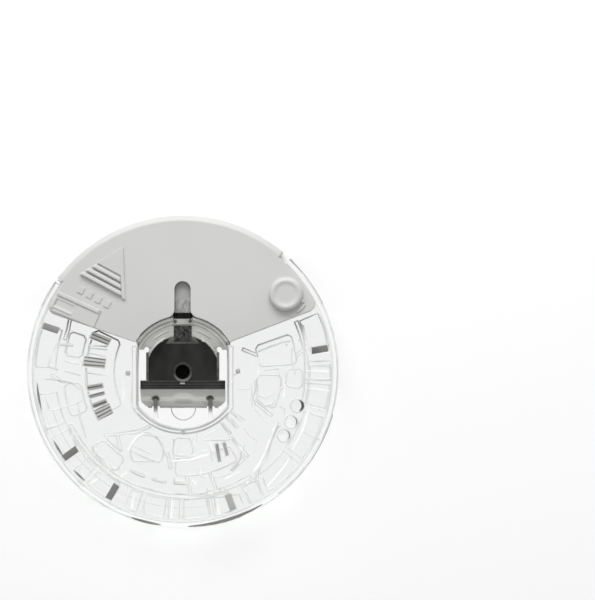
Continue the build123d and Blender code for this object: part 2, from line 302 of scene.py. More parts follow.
def mathOn(nodes, links, operation, *values):
    # a math node fed by numbers or by other nodes
    node = nodes.new("ShaderNodeMath")
    node.operation = operation
    for key, value in enumerate(values):
        if isinstance(value, (int, float)):
            node.inputs[key].default_value = value
        else:
            links.new(value, node.inputs[key])
    return node.outputs[0]


def axesOn(nodes, links):
    place = nodes.new("ShaderNodeTexCoord")
    split = nodes.new("ShaderNodeSeparateXYZ")
    links.new(place.outputs["Object"], split.inputs["Vector"])
    return place.outputs["Object"], split.outputs["X"], split.outputs["Y"]


def spanOn(nodes, links, source, low, high, atLow=0.0, atHigh=1.0):
    # from one value to another between two places in mm
    span = nodes.new("ShaderNodeMapRange")
    span.inputs["From Min"].default_value = low * mm
    span.inputs["From Max"].default_value = high * mm
    span.inputs["To Min"].default_value = atLow
    span.inputs["To Max"].default_value = atHigh
    links.new(source, span.inputs["Value"])
    return span.outputs["Result"]


def letLampsThrough(nodes, links, shader, output, tint):
    # lamps reach what lies under clear plastic
    path = nodes.new("ShaderNodeLightPath")
    glass = nodes.new("ShaderNodeBsdfTransparent")
    glass.inputs["Color"].default_value = (*tint, 1)
    mix = nodes.new("ShaderNodeMixShader")
    links.new(path.outputs["Is Shadow Ray"], mix.inputs[0])
    links.new(shader.outputs["BSDF"], mix.inputs[1])
    links.new(glass.outputs["BSDF"], mix.inputs[2])
    links.new(mix.outputs["Shader"], output.inputs["Surface"])


def makeFinish(name, look):
    # one tint, or a tone that wanders between dark and light
    material, nodes, links, shader, output = newMaterial(name, look)
    if "tint" in look:
        shader.inputs["Base Color"].default_value = (*look["tint"], 1)
    else:
        cloud = noiseOn(nodes, links, look["cloud"], look.get("detail", 2.0), look.get("stretch", (1, 1, 1)))
        tone = rampOn(nodes, links, cloud, look["dark"], look["light"], *look.get("span", (0.35, 0.65)))
        links.new(tone, shader.inputs["Base Color"])
    if "grain" in look:
        grainOn(nodes, links, shader, look["grain"])
    if "lampTint" in look:
        letLampsThrough(nodes, links, shader, output, look["lampTint"])
    return material


clearPlastic = {"tint": (0.978, 0.982, 0.98), "ior": 1.57, "roughness": 0.02, "clearness": 1.0,
                "grain": (60, 1.0, 0.4, 0.006), "lampTint": (0.94, 0.945, 0.94)}
# rounded corners of channels and chambers, which scatter light, tinted grey as painted shade for the dark
# lines their refraction gives
clearEdgeShade = {"tint": (0.83, 0.835, 0.83), "ior": 1.35, "roughness": 0.3, "clearness": 0.3,
             "grain": (400, 2.0, 0.3, 0.01), "lampTint": (0.85, 0.855, 0.85)}
liquidLook = {"tint": (0.93, 0.96, 0.965), "ior": 1.33, "roughness": 0.0, "clearness": 1.0,
              "grain": (40, 1.0, 0.2, 0.004), "lampTint": (0.95, 0.97, 0.97)}
clearLid = makeFinish("clearLidPlastic", clearPlastic)
clearBase = makeFinish("clearBasePlastic", clearPlastic)
discEdgeShade = makeFinish("clearDiscEdgeShade", clearEdgeShade)
liquidClear = makeFinish("diluentLiquid", liquidLook)

# half-clear finish for fine walls between the discs: the grey walls are painted shade and the pale ones
# painted highlight, for the lines the channel edges show
seamLook = {"clearness": 0.22, "roughness": 0.3, "ior": 1.3, "cloud": 180, "span": (0.4, 0.65),
            "lampTint": (0.9, 0.9, 0.9)}
seamLift = 1.25   # how much lighter a wall gets where its tone wanders


def makeSeam(name, colour):
    light = tuple(min(1.0, tone * seamLift) for tone in colour)
    return makeFinish(name, dict(seamLook, dark=colour, light=light))


seamPaintedShade = makeSeam("seamPaintedShade", (0.73, 0.735, 0.73))
rimPaintedShade = makeSeam("rimPaintedShade", (0.22, 0.22, 0.215))
edgeGrey = makeSeam("edgeGrey", (0.5, 0.505, 0.5))
seamPaintedHighlight = makeSeam("seamPaintedHighlight", (0.97, 0.97, 0.965))
lipFrost = makeSeam("lipFrost", (0.62, 0.62, 0.61))
trackPaintedLight = makeSeam("trackPaintedLight", (0.8, 0.8, 0.79))

# plain opaque grey: some pieces' own tone, and painted shade or painted light where said below
toneOrPaintedLight = {"cloud": 700, "roughness": 0.35}


def makeToneOrPaintedLight(name, dark, light, clearness=0.0):
    return makeFinish(name, dict(toneOrPaintedLight, dark=dark, light=light, clearness=clearness))


# the ribs' points, the wells' crescents, the container's sides and the flange's creases are painted shade; the
# back band is painted light
ribPaintedShade = makeToneOrPaintedLight("ribPaintedShade", (0.02, 0.02, 0.019), (0.06, 0.06, 0.055))
wellShade = makeToneOrPaintedLight("wellShade", (0.03, 0.03, 0.03), (0.1, 0.1, 0.1), 0.1)
shoulderGrey = makeToneOrPaintedLight("shoulderGrey", (0.045, 0.045, 0.042), (0.1, 0.1, 0.095))
sidePaintedShade = makeToneOrPaintedLight("sidePaintedShade", (0.05, 0.05, 0.048), (0.12, 0.12, 0.115))
creasePaintedShade = makeToneOrPaintedLight("creasePaintedShade", (0.035, 0.035, 0.032), (0.06, 0.06, 0.056))
stepGrey = makeToneOrPaintedLight("stepGrey", (0.34, 0.34, 0.325), (0.44, 0.44, 0.42))
bandPaintedLight = makeToneOrPaintedLight("bandPaintedLight", (0.82, 0.82, 0.8), (0.95, 0.95, 0.93))

# moulded and foil finishes, each by its own look
coverPlastic = {"dark": (0.61, 0.61, 0.60), "light": (0.645, 0.645, 0.635), "cloud": 45,
                "roughness": 0.42, "shine": 0.35, "grain": (900, 3.0, 0.25, 0.02)}
containerPlastic = {"dark": (0.42, 0.42, 0.4), "light": (0.52, 0.52, 0.495), "cloud": 160,
                    "roughness": 0.28, "grain": (500, 3.0, 0.3, 0.02)}
latchLook = {"dark": (0.003, 0.003, 0.003), "light": (0.075, 0.075, 0.07), "cloud": 1500, "detail": 3.0,
             "span": (0.36, 0.68), "roughness": 0.6, "shine": 0.3, "grain": (1500, 3.0, 0.5, 0.05)}
ridgeLook = {"dark": (0.5, 0.5, 0.48), "light": (0.68, 0.68, 0.65), "cloud": 300, "roughness": 0.3}
# moulded grain, drawn out along the slot
landLook = {"dark": (0.31, 0.31, 0.305), "light": (0.38, 0.38, 0.375), "cloud": 120,
            "stretch": (1.6, 0.6, 1), "roughness": 0.6, "grain": (2000, 2.0, 0.2, 0.01)}
grainShadeLook = dict(landLook, dark=(0.25, 0.25, 0.245), light=(0.42, 0.42, 0.41), cloud=1400)
barLook = dict(landLook, dark=(0.002, 0.002, 0.002), light=(0.016, 0.016, 0.015), cloud=1200, shine=0.05)
foilMetal = {"dark": (0.002, 0.002, 0.0017), "light": (0.034, 0.035, 0.03), "cloud": 150, "detail": 4.0,
             "stretch": (1, 0.5, 1), "metallic": 0.35, "roughness": 0.3, "grain": (130, 3.0, 0.35, 0.05)}
# near black in the foil's dimple: painted reflection of the dark its hollow mirrors
dimpleReflectionLook = {"dark": (0.0015, 0.0015, 0.001), "light": (0.003, 0.003, 0.0025), "cloud": 300,
              "roughness": 0.6, "shine": 0.02}
reagentLook = {"dark": (0.86, 0.86, 0.86), "light": (0.97, 0.97, 0.97), "cloud": 2500, "detail": 4.0,
               "roughness": 0.75, "grain": (2500, 4.0, 0.6, 0.05)}
coverGrey = makeFinish("coverPlastic", coverPlastic)
containerGrey = makeFinish("containerPlastic", containerPlastic)
latchDark = makeFinish("latchKnurl", latchLook)
ridgePale = makeFinish("containerRidge", ridgeLook)
# the slot's land and its grained half are grey as painted shade
landPaintedShade = makeFinish("landPaintedShade", landLook)
grainPaintedShade = makeFinish("grainPaintedShade", grainShadeLook)
barDark = makeFinish("barDark", barLook)
foilDark = makeFinish("sealingFoil", foilMetal)
dimplePaintedReflection = makeFinish("foilDimpleReflection", dimpleReflectionLook)
reagentWhite = makeFinish("driedReagent", reagentLook)

ribShadeFadeLook = {"low": -8.2, "high": -7.0, "dark": (0.2, 0.2, 0.19), "pale": (0.93, 0.93, 0.93),
           "leastClear": 0.15, "roughness": 0.2}


def makeRibShadeFade():
    # painted shade on the piercing ribs: dark at their points, fading into clear plastic at their feet
    look = ribShadeFadeLook
    material, nodes, links, shader, output = newMaterial("ribShadeFade", look)
    place, x, y = axesOn(nodes, links)
    fade = spanOn(nodes, links, y, look["low"], look["high"], 1.0, look["leastClear"])
    tone = rampOn(nodes, links, fade, look["dark"], look["pale"], 0.2, 0.95)
    links.new(tone, shader.inputs["Base Color"])
    links.new(fade, shader.inputs["Transmission Weight"])
    return material


ringLightLook = {"top": (0.02, 0.02, 0.018), "foot": (0.2, 0.2, 0.19), "from": -2.0, "to": -0.2, "roughness": 0.5}


def makeRingPaintedLight():
    # foil drawn round the dimple, with painted light: brighter towards its foot on the -Y side
    look = ringLightLook
    material, nodes, links, shader, output = newMaterial("dimpleRing", look)
    place, x, y = axesOn(nodes, links)
    span = spanOn(nodes, links, y, look["from"], look["to"])
    links.new(rampOn(nodes, links, span, look["foot"], look["top"], 0.0, 1.0), shader.inputs["Base Color"])
    return material


facetShadeLook = {"roughness": 0.25, "cloud": 110,
             # darkest and lightest painted shade of the facets on the rim, in the left window and at the
             # right, where their tilted faces turn light away
             "rim": (0.25, 0.46), "window": (0.15, 0.66), "right": (0.07, 0.17),
             "groovePitch": 2.3, "grooveShift": 0.6}


def makeFacetShade(name, shine):
    look = facetShadeLook
    material, nodes, links, shader, output = newMaterial(name + "Facet", dict(look, shine=shine))
    dark, light = ((grey, grey, grey * 0.98) for grey in look[name])
    if name == "window":   # painted shade in stripes, as fine grooves that run towards the disc's axis would show
        place, x, y = axesOn(nodes, links)
        turn = mathOn(nodes, links, "ARCTANGENT", mathOn(nodes, links, "DIVIDE", y, x))
        spread = mathOn(nodes, links, "MULTIPLY_ADD", turn, 360 / look["groovePitch"], look["grooveShift"])
        tone = rampOn(nodes, links, mathOn(nodes, links, "SINE", spread), light, dark, 0.0, 0.9)
    else:
        tone = rampOn(nodes, links, noiseOn(nodes, links, look["cloud"], 1.0), dark, light, 0.38, 0.62)
    links.new(tone, shader.inputs["Base Color"])
    return material


sealLightLook = {
    # painted light and shade along the slope, from its lower edge up, as place in mm on Y and brightness
    "paintedBands": ((-6.95, 0.82), (-6.5, 0.76), (-6.0, 0.78), (-5.7, 0.98), (-5.1, 0.98), (-4.8, 0.72),
              (-3.6, 0.62), (-3.35, 0.3)),
    # painted highlights and dark spots: place, radius across and along, and brightness at the middle
    "paintedSpots": ((-5.45, -5.35, 1.5, 1.15, 1.15), (5.35, -5.25, 1.5, 1.15, 1.15),
              (-5.45, -5.35, 1.1, 0.75, 0.08), (5.35, -5.25, 1.1, 0.75, 0.08),
              (0.1, -4.75, 2.6, 0.85, 1.3), (0.1, -5.9, 2.5, 0.75, 0.78),
              (-5.5, -6.9, 0.7, 1.0, 0.6), (5.3, -6.9, 0.7, 1.0, 0.6)),
    "spotCore": 0.45,   # share of a spot's radius that is even
    "roughness": 0.38, "metallic": 0.25, "grain": (260, 3.0, 0.3, 0.03),
}


def makeSealPaintedLight():
    # the sloping seal: satin foil with painted bands of light and shade, and painted highlight and shade at
    # the two places where the ribs stand
    look = sealLightLook
    material, nodes, links, shader, output = newMaterial("sealSlopePaintedLight", look)
    place, x, y = axesOn(nodes, links)
    low, high = look["paintedBands"][0][0], look["paintedBands"][-1][0]
    ramp = nodes.new("ShaderNodeValToRGB")
    while len(ramp.color_ramp.elements) < len(look["paintedBands"]):
        ramp.color_ramp.elements.new(0.5)
    for element, (level, tone) in zip(ramp.color_ramp.elements, look["paintedBands"]):
        element.position = (level - low) / (high - low)
        element.color = (tone, tone, tone * 0.96, 1)
    links.new(spanOn(nodes, links, y, low, high), ramp.inputs["Fac"])
    colour = ramp.outputs["Color"]
    for spotX, spotY, across, along, bright in look["paintedSpots"]:
        offset = nodes.new("ShaderNodeMapping")
        offset.inputs["Location"].default_value = (-spotX / across, -spotY / along, 0)
        offset.inputs["Scale"].default_value = (1 / (across * mm), 1 / (along * mm), 0)
        links.new(place, offset.inputs["Vector"])
        reach = nodes.new("ShaderNodeVectorMath")
        reach.operation = "LENGTH"
        links.new(offset.outputs["Vector"], reach.inputs[0])
        fade = nodes.new("ShaderNodeMapRange")
        fade.interpolation_type = "SMOOTHSTEP"
        fade.inputs["From Min"].default_value = look["spotCore"]
        fade.inputs["To Min"].default_value = bright
        links.new(reach.outputs["Value"], fade.inputs["Value"])
        dim = nodes.new("ShaderNodeVectorMath")
        dim.operation = "SCALE"
        links.new(colour, dim.inputs[0])
        links.new(fade.outputs["Result"], dim.inputs["Scale"])
        colour = dim.outputs["Vector"]
    links.new(colour, shader.inputs["Base Color"])
    grainOn(nodes, links, shader, look["grain"])
    return material


ribShadeFade = makeRibShadeFade()
ringPaintedLight = makeRingPaintedLight()
rimFacetShade = makeFacetShade("rim", 0.5)
windowFacetShade = makeFacetShade("window", 0.5)
rightFacetShade = makeFacetShade("right", 0.1)
sealPaintedLight = makeSealPaintedLight()
print("materials made")


def dress(piece, *materials):
    piece.data.materials.clear()
    for material in materials:
        piece.data.materials.append(material)


def assign(piece, body, node=None):
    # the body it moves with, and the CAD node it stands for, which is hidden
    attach(piece, body)
    if node:
        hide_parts(node)
    return piece


def settle(piece, material, body, angle=35):
    dress(piece, material)
    smoothPiece(piece, angle)
    assign(piece, body)


# Clear discs

discEdges = {"lidBevel": 0.14, "segments": 2, "sharp": 30, "rimRadius": 29.7, "near": 0.02,
             # height of the edges, and width and flatness of the round that runs along them
             "rounds": ((4.9, 0.36, 0.55), (4.0, 0.2, 0.6), (3.0, 0.26, 0.6), (3.3, 0.2, 0.6))}


def roundsAlong(source, height, width, flatness):
    # a soft round along every sharp edge that lies at one height
    corners = source.data.vertices
    pick(source)
    bpy.ops.object.mode_set(mode="EDIT")
    bpy.ops.mesh.select_mode(type="EDGE")
    bpy.ops.mesh.select_all(action="DESELECT")
    closeMesh()
    for edge, sides in edgesWithSides(source):
        if bendOf(sides) >= discEdges["sharp"]:
            ends = [corners[key].co / mm for key in edge.vertices]
            edge.select = all(abs(end.z - height) < discEdges["near"]
                              and hypot(end.x, end.y) < discEdges["rimRadius"] for end in ends)
    bpy.ops.object.mode_set(mode="EDIT")
    bpy.ops.mesh.duplicate()
    bpy.ops.mesh.separate(type="SELECTED")
    bpy.ops.mesh.select_mode(type="VERT")
    closeMesh()
    line = [thing for thing in bpy.context.selected_objects if thing != source][0]
    pick(line)
    line.data.materials.clear()
    bpy.ops.object.convert(target="CURVE")
    line = bpy.context.object
    line.data.bevel_depth = width / 2 * mm
    line.data.bevel_resolution = 2
    line.data.use_fill_caps = True
    bpy.ops.object.convert(target="MESH")
    line = bpy.context.object
    for corner in line.data.vertices:
        corner.co.z = (height + (corner.co.z / mm - height) * flatness) * mm
    return line


rimRound = {"foot": ((29.9, -0.2), (29.9, 1.0)), "footSteps": 240, "steps": 360,
            # radius and height along the rim's outer wall, from its lower edge to its top
            "wall": ((30.2, 0.9), (30.2, 1.2), (30.64, 1.31), (30.84, 1.42), (30.95, 1.58), (30.985, 1.78),
                     (30.985, 6.06), (30.95, 6.27), (30.84, 6.43), (30.64, 6.53), (30.4, 6.6), (28.0, 6.7))}


def roundRim(piece):
    # the rim's outer wall is turned down to a smooth round, finer than the CAD's facets
    form = rimRound
    foot = turned("foot", (0, 0), form["foot"], form["footSteps"])
    lathe = turned("lathe", (0, 0), form["wall"], form["steps"])
    boolean(lathe, foot, "UNION")
    return boolean(piece, lathe, "INTERSECT")


ribLook = {"x": 5.45, "half": 0.6, "from": -9.28, "to": -4.2, "floor": 2.32, "darkFrom": -6.2}


def shadeRibs(piece):
    # the piercing ribs get painted shade, darkest at their points
    form = ribLook
    for face in piece.data.polygons:
        x, y, z = (value / mm for value in face.center)
        beside = abs(abs(x) - form["x"]) < form["half"] and form["from"] < y < form["to"]
        if beside and z > form["floor"]:
            face.material_index = 1 if y > form["darkFrom"] else 2


coverTrack = {"inner": 27.5, "outer": 30.3, "span": (34, 144), "slot": 3}


def paintTrackLight(piece):
    # the wall that the cover's skirt runs past gets a pale grey: painted light, for the light the disc carries
    # from its far side
    form = coverTrack
    for face in piece.data.polygons:
        x, y = face.center.x / mm, face.center.y / mm
        inTrack = form["inner"] < hypot(x, y) < form["outer"]
        if inTrack and form["span"][0] < degrees(atan2(y, x)) < form["span"][1] and abs(face.normal.z) < 0.5:
            face.material_index = form["slot"]


def makeBaseDisc():
    piece = copyOf("base_disc", "baseDiscLook")
    # rounds along the chamber edges take the grey edge finish, which is painted shade
    rounds = joined([roundsAlong(piece, *row) for row in discEdges["rounds"]], "chamberRounds")
    settle(setDown(rounds, "chamberRounds"), discEdgeShade, "disc", 50)
    roundRim(piece)
    dress(piece, clearBase, ribPaintedShade, ribShadeFade, trackPaintedLight)
    shadeRibs(piece)
    paintTrackLight(piece)
    smoothPiece(piece, 30)
    return assign(piece, "disc", "base_disc")


# the lid's facets are its tilted faces, given painted shade: those in the left window, those at the right and
# the rest
facetPlaces = {"tilt": (0.6, 0.97), "below": 0.05, "windowRadius": 22, "rightFrom": 24}


def makeLidDisc():
    piece = copyOf("lid_disc", "lidDiscLook")
    dress(piece, clearLid, discEdgeShade, rimFacetShade, trackPaintedLight, windowFacetShade, rightFacetShade)
    form = facetPlaces
    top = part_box("lid_disc")[1].z
    for face in piece.data.polygons:
        tilted = form["tilt"][0] < face.normal.z < form["tilt"][1]
        if tilted and face.center.z < top - form["below"] * mm:
            x, y = face.center.x / mm, face.center.y / mm
            inWindow = x < 0 and hypot(x, y) < form["windowRadius"]
            face.material_index = 4 if inWindow else 5 if x > form["rightFrom"] else 2
    paintTrackLight(piece)
    # the lid's rounds take the grey edge finish too, painted shade
    roundEdges(piece, discEdges["lidBevel"], discEdges["segments"], edgeSlot=1)
    return assign(piece, "disc", "lid_disc")


# fine grey walls between the two discs, painted shade for the lines that the channel edges show: width in mm,
# then the places they run through

greyWalls = (
    (0.42, (-24.9, 5.7), (-25.9, 4.0), (-26.7, 1.0), (-24.7, 0.4)), (0.8, (-24.7, 5.5), (-21.7, 5.3)),
    (0.42, (-23.5, 2.2), (-20.7, 1.6)), (0.42, (-23.5, 0.2), (-20.3, -0.6)),
    (0.4, (-29.5, 1.8), (-29.5, -1.2), (-24.3, -1.6), (-21.9, -2.2), (-20.5, -3.4)),
    (0.42, (-27.3, -4.4), (-26.5, -7.5)), (0.3, (-26.5, -7.7), (-23.1, -6.9), (-19.9, -5.7)),
    (0.5, (-27.9, -9.3), (-27.3, -11.1)), (0.3, (-27.3, -11.1), (-23.9, -10.3)),
    (0.3, (-23.3, -9.9), (-22.3, -11.5), (-21.7, -13.5), (-20.9, -15.3)),
    (0.42, (-20.9, -5.9), (-20.3, -9.5), (-19.2, -13.1)),
    (0.32, (-20.3, -14.9), (-19.4, -17.0), (-17.8, -18.6), (-16.4, -20.0), (-15.2, -20.2)),
    (0.42, (-18.0, -14.9), (-17.0, -16.4), (-15.6, -17.4)), (0.34, (-17.4, -19.4), (-18.8, -21.4)),
    (0.28, (-19.9, -18.0), (-20.5, -19.8), (-19.2, -21.4)),
    (0.4, (-15.4, -12.7), (-14.0, -14.3), (-12.0, -15.8)), (0.42, (-14.4, -18.2), (-13.8, -19.4)),
    (0.5, (-12.8, -18.6), (-12.0, -19.6)), (0.5, (-10.2, -19.6), (-9.1, -20.2), (-7.7, -20.8)),
    (0.46, (-5.9, -21.2), (-3.5, -21.8)), (0.46, (-1.7, -21.0), (-1.6, -22.0), (1.0, -22.2)),
    (0.36, (-11.6, -0.6), (-10.2, -0.8)), (0.3, (-18.8, 4.8), (-15.0, 4.4)),
    (0.26, (-18.8, 3.8), (-15.0, 3.0)), (0.3, (-19.0, -0.2), (-14.8, -0.8)),
    (0.4, (-19.2, 2.8), (-19.2, -2.6), (-18.4, -5.5)), (0.28, (-10.2, -1.6), (-10.2, -6.3)),
    (0.4, (-8.5, -12.1), (-7.3, -11.9), (-6.3, -12.1)),
    (0.46, (-5.3, -12.7), (-4.3, -14.3), (-3.7, -15.8), (-3.3, -16.6)),
    (0.32, (-10.4, -15.6), (-7.5, -17.0), (-4.5, -18.0)), (0.24, (-9.6, -14.9), (-6.1, -16.4)),
    (0.36, (2.8, -11.7), (2.6, -14.1)), (0.34, (4.0, -13.5), (6.2, -13.5), (8.4, -13.5), (9.8, -13.3)),
    (0.26, (2.0, -14.5), (1.6, -16.6)), (0.4, (3.0, -15.8), (4.8, -15.6)),
    (0.3, (-2.1, -17.2), (0.5, -17.0), (2.8, -16.4)), (0.22, (-1.9, -13.1), (-1.9, -17.0)),
    (0.28, (5.4, -14.5), (5.8, -17.8)), (0.46, (7.8, -10.3), (9.2, -11.9)),
    (0.32, (8.8, -8.7), (10.6, -10.9)), (0.3, (9.6, -7.7), (11.7, -9.9)),
    (0.46, (9.8, -13.1), (11.3, -15.1), (12.7, -16.8)), (0.26, (12.1, -11.1), (13.3, -12.7), (14.9, -13.9)),
    (0.36, (11.3, -15.1), (11.3, -17.0), (10.8, -18.4), (9.6, -19.4)),
    (0.46, (3.2, -19.4), (3.6, -20.6), (4.6, -21.0)), (0.3, (4.6, -21.0), (7.4, -20.8), (9.4, -20.2)),
    (0.26, (-8.5, -22.8), (-6.5, -23.2), (-4.5, -23.5)),
    (0.36, (-1.5, -24.0), (1.4, -24.4), (4.8, -24.2), (4.8, -23.0)),
    (0.36, (6.0, -24.0), (7.4, -23.8), (7.4, -22.8)), (0.4, (8.2, -23.0), (8.6, -24.0), (9.6, -24.0)),
    (0.3, (-2.9, -24.8), (0.5, -25.1), (3.4, -25.0), (7.4, -24.8), (11.3, -24.2)),
    (0.24, (-11.0, -22.8), (-10.8, -27.3)), (0.26, (-7.7, -25.4), (-7.7, -28.3)),
    (0.36, (-2.9, -25.0), (-3.1, -29.3)), (0.4, (-0.2, -25.4), (-0.1, -29.3)),
    (0.3, (5.0, -25.0), (5.6, -28.3)), (0.26, (6.2, -25.0), (6.6, -27.7)),
    (0.3, (11.2, -24.4), (12.1, -26.5)), (0.3, (12.5, -23.8), (13.5, -25.9)),
    (0.4, (11.9, -22.8), (13.3, -22.0), (14.5, -21.6)),
    (0.44, (18.9, -10.5), (18.1, -12.1), (17.3, -14.5), (16.5, -17.4), (14.9, -19.4), (14.5, -21.4)),
    (0.55, (14.9, -21.8), (15.7, -24.4)), (0.4, (15.9, -21.0), (16.9, -23.6)),
    (0.36, (14.9, 4.0), (17.3, 5.0), (19.9, 5.9), (21.3, 6.1)), (0.5, (20.5, 5.5), (20.7, 5.2)),
    (0.36, (21.7, 4.8), (21.7, 1.4), (22.4, -0.6)), (0.5, (23.0, 6.5), (23.2, 6.1)),
    (0.28, (24.0, 6.3), (24.4, 1.4)), (0.5, (16.1, 0.4), (19.1, 0.7)), (0.36, (19.1, 0.6), (19.3, -0.8)),
    (0.6, (14.7, -2.4), (14.7, -5.7)), (0.28, (13.7, -2.8), (13.7, -7.1)),
    (0.24, (10.4, -3.4), (13.3, -3.4)), (0.4, (14.9, -5.5), (16.3, -6.7), (17.7, -6.5), (18.3, -5.5)),
    (0.28, (14.5, -4.6), (16.5, -5.2), (18.1, -4.2)), (0.3, (16.5, -6.7), (16.5, -7.9)),
    (0.34, (24.2, 2.0), (29.2, 2.2)), (0.28, (24.2, 1.2), (29.2, 1.0)),
    (0.5, (24.2, -1.4), (26.8, -1.5), (29.4, -1.6)), (0.3, (24.2, -2.2), (29.4, -2.6)),
    (0.4, (25.0, -6.9), (28.2, -7.7)), (0.3, (25.2, -8.1), (27.8, -8.9)),
    (0.3, (23.8, -11.9), (27.2, -13.5)), (0.34, (21.3, -17.0), (22.6, -18.6)),
    (0.3, (14.3, -7.3), (15.7, -9.1), (16.7, -10.1)), (0.34, (19.1, -6.9), (20.1, -7.3), (20.1, -8.5)),
    (0.36, (10.0, -0.6), (11.0, -0.2)), (0.4, (-9.6, -7.1), (-8.1, -9.5)),
    (0.5, (-21.1, -21.2), (-19.6, -22.6)),
)

# pale walls beside the grey ones: painted highlight along the channel edges
paleWalls = (
    (0.4, (-18.8, 5.3), (-15.0, 5.0)), (0.4, (-11.8, -1.6), (-11.8, -5.5)),
    (0.5, (-10.8, -15.6), (-10.2, -14.3), (-9.1, -12.9), (-7.7, -12.3)),
    (0.5, (-12.2, -21.0), (-11.2, -19.8)), (0.4, (-2.1, -17.8), (1.4, -17.4), (5.4, -16.4)),
    (0.5, (18.3, -10.7), (16.9, -14.5), (15.5, -17.8), (14.1, -19.8)), (0.5, (5.4, -14.1), (6.6, -17.0)),
    (0.4, (8.4, -21.2), (10.0, -20.4), (11.5, -19.8)), (0.5, (25.0, -7.7), (23.8, -11.5), (21.8, -15.5)),
    (0.45, (21.1, -17.4), (19.3, -20.0), (16.9, -22.6)), (0.5, (-9.6, -24.4), (-10.2, -27.1)),
    (0.5, (-2.1, -25.2), (-2.3, -28.9)), (0.4, (6.6, -25.4), (7.2, -28.3)),
    (0.5, (23.8, 9.3), (24.4, 6.3), (25.0, 3.2)), (0.45, (14.9, 3.0), (14.9, -1.2)),
    (0.4, (20.1, -1.6), (20.1, -5.2)), (0.5, (11.0, 0.2), (11.7, 0.0)), (0.7, (12.7, -21.8), (12.9, -22.2)),
    (0.7, (1.8, -21.6), (2.6, -22.4)), (0.4, (4.4, -12.7), (6.4, -11.7)),
    (0.4, (-18.4, -22.2), (-16.8, -21.2)), (0.35, (24.4, 0.2), (29.2, 0.0)),
    (0.35, (24.4, -3.2), (29.2, -3.8)),
)

wallForm = {"level": 5.12, "flatness": 0.32, "endShare": 0.8, "sides": 3, "smooth": 50}


def penLine(places, width, radii):
    # a line through places in mm, with a round section that follows the radii
    pickNothing()
    bpy.ops.curve.primitive_bezier_curve_add(location=(0, 0, 0))
    line = bpy.context.object
    line.data.splines.clear()
    spline = line.data.splines.new("POLY")
    spline.points.add(len(places) - 1)
    for point, (x, y), radius in zip(spline.points, places, radii):
        point.co = (x * mm, y * mm, 0, 1)
        point.radius = radius
    line.data.dimensions = "3D"
    line.data.bevel_depth = width / 2 * mm
    line.data.bevel_resolution = wallForm["sides"]
    line.data.use_fill_caps = True
    return line


def pressed(lines, name, material, level, flatness):
    # the lines become one mesh that is pressed flat between the discs
    pick(*lines)
    bpy.ops.object.convert(target="MESH")
    bpy.ops.object.join()
    piece = bpy.context.object
    piece.scale.z = flatness
    piece.location.z = level * mm
    settle(setDown(piece, name), material, "disc", wallForm["smooth"])


def makeWalls(name, walls, material):
    form = wallForm
    end = form["endShare"]
    lines = [penLine(places, width, [end] + [1.0] * (len(places) - 2) + [end]) for width, *places in walls]
    pressed(lines, name, material, form["level"], form["flatness"])


# each arc by its inner and outer radius and its start and end angle
rimShade = {"arcs": ((30.25, 30.85, 272, 301), (30.3, 30.75, 250, 262), (28.75, 29.15, 184, 195),
                     (28.75, 29.15, 208, 215), (28.8, 29.2, 222, 228)),
            "sides": ((29.42, 29.62, -46, 22), (30.5, 30.68, -52, 40), (30.5, 30.68, 146, 250),
                      (29.42, 29.6, 146, 205)),
            "low": 5.9, "high": 6.35, "lineHigh": 0.2, "thinning": 0.85, "round": 0.1, "lineRound": 0.05}


def makeRimShades():
    # soft dark arcs in the rim, painted shade where its wall turns light away
    form = rimShade
    dark = []
    for inner, outer, start, end in form["arcs"]:
        bar = arcBar("shade", inner, outer, start, end, form["low"], form["high"])
        middle, half = radians((start + end) / 2), radians((end - start) / 2)
        level = (inner + outer) / 2 * mm
        for corner in bar.data.vertices:   # thin at both ends
            turn = radians(degrees(atan2(corner.co.y, corner.co.x)) % 360)
            away = abs((turn - middle + pi) % (2 * pi) - pi) / half
            reach = hypot(corner.co.x, corner.co.y)
            narrow = level + (reach - level) * (1 - form["thinning"] * away * away)
            corner.co.x, corner.co.y = cos(turn) * narrow, sin(turn) * narrow
        dark.append(bar)
    shades = softened(joined(dark, "rimShades"), form["round"])
    settle(shades, rimPaintedShade, "disc")
    # thin grey lines along the rim's sides: painted shade
    lines = [arcBar("line", *row, form["low"], form["low"] + form["lineHigh"]) for row in form["sides"]]
    settle(softened(joined(lines, "rimLines"), form["lineRound"], 2), seamPaintedShade, "disc")


rimEndForm = {"arc": (29.9, 31.0, 143.6, 144.9), "low": 1.32, "high": 6.52, "round": 0.25}


def makeRimEnd():
    # the rounded end of the rim, beside the cover's track
    form = rimEndForm
    piece = softened(arcBar("rimEnd", *form["arc"], form["low"], form["high"]), form["round"])
    settle(piece, clearBase, "disc")


baseDisc = makeBaseDisc()
lidDisc = makeLidDisc()
makeRimShades()
makeRimEnd()
makeWalls("greyWalls", greyWalls, seamPaintedShade)
makeWalls("paleWalls", paleWalls, seamPaintedHighlight)
print("clear discs made", len(baseDisc.data.polygons), len(lidDisc.data.polygons))

# Swing cover

coverForm = {
    "plateTop": 7.74,
    "cutBelow": 0.02,
    "mergeCut": 0.07,
    "bevel": 0.24,
    "lowerShare": 0.6,
    "segments": 3,
    "pivot": (20.418, 15.442),
    "pivotReach": 2.5,
    "bossProfile": ((3.35, 7.6), (3.35, 8.35), (3.31, 8.62), (3.2, 8.88), (3.03, 9.09), (2.82, 9.23),
                    (2.6, 9.285), (2.4, 9.25), (2.18, 9.15), (1.95, 9.07), (1.65, 9.03), (1.2, 9.025),
                    (0.6, 9.045)),
    "tab": (3.95, 4.45, -58, -28, 7.72, 7.98),
    "tabRound": 0.1,
    "dot": (3.6, -24),
    "dotProfile": ((0.42, 7.7), (0.42, 7.9), (0.34, 8.02), (0.15, 8.06)),
}


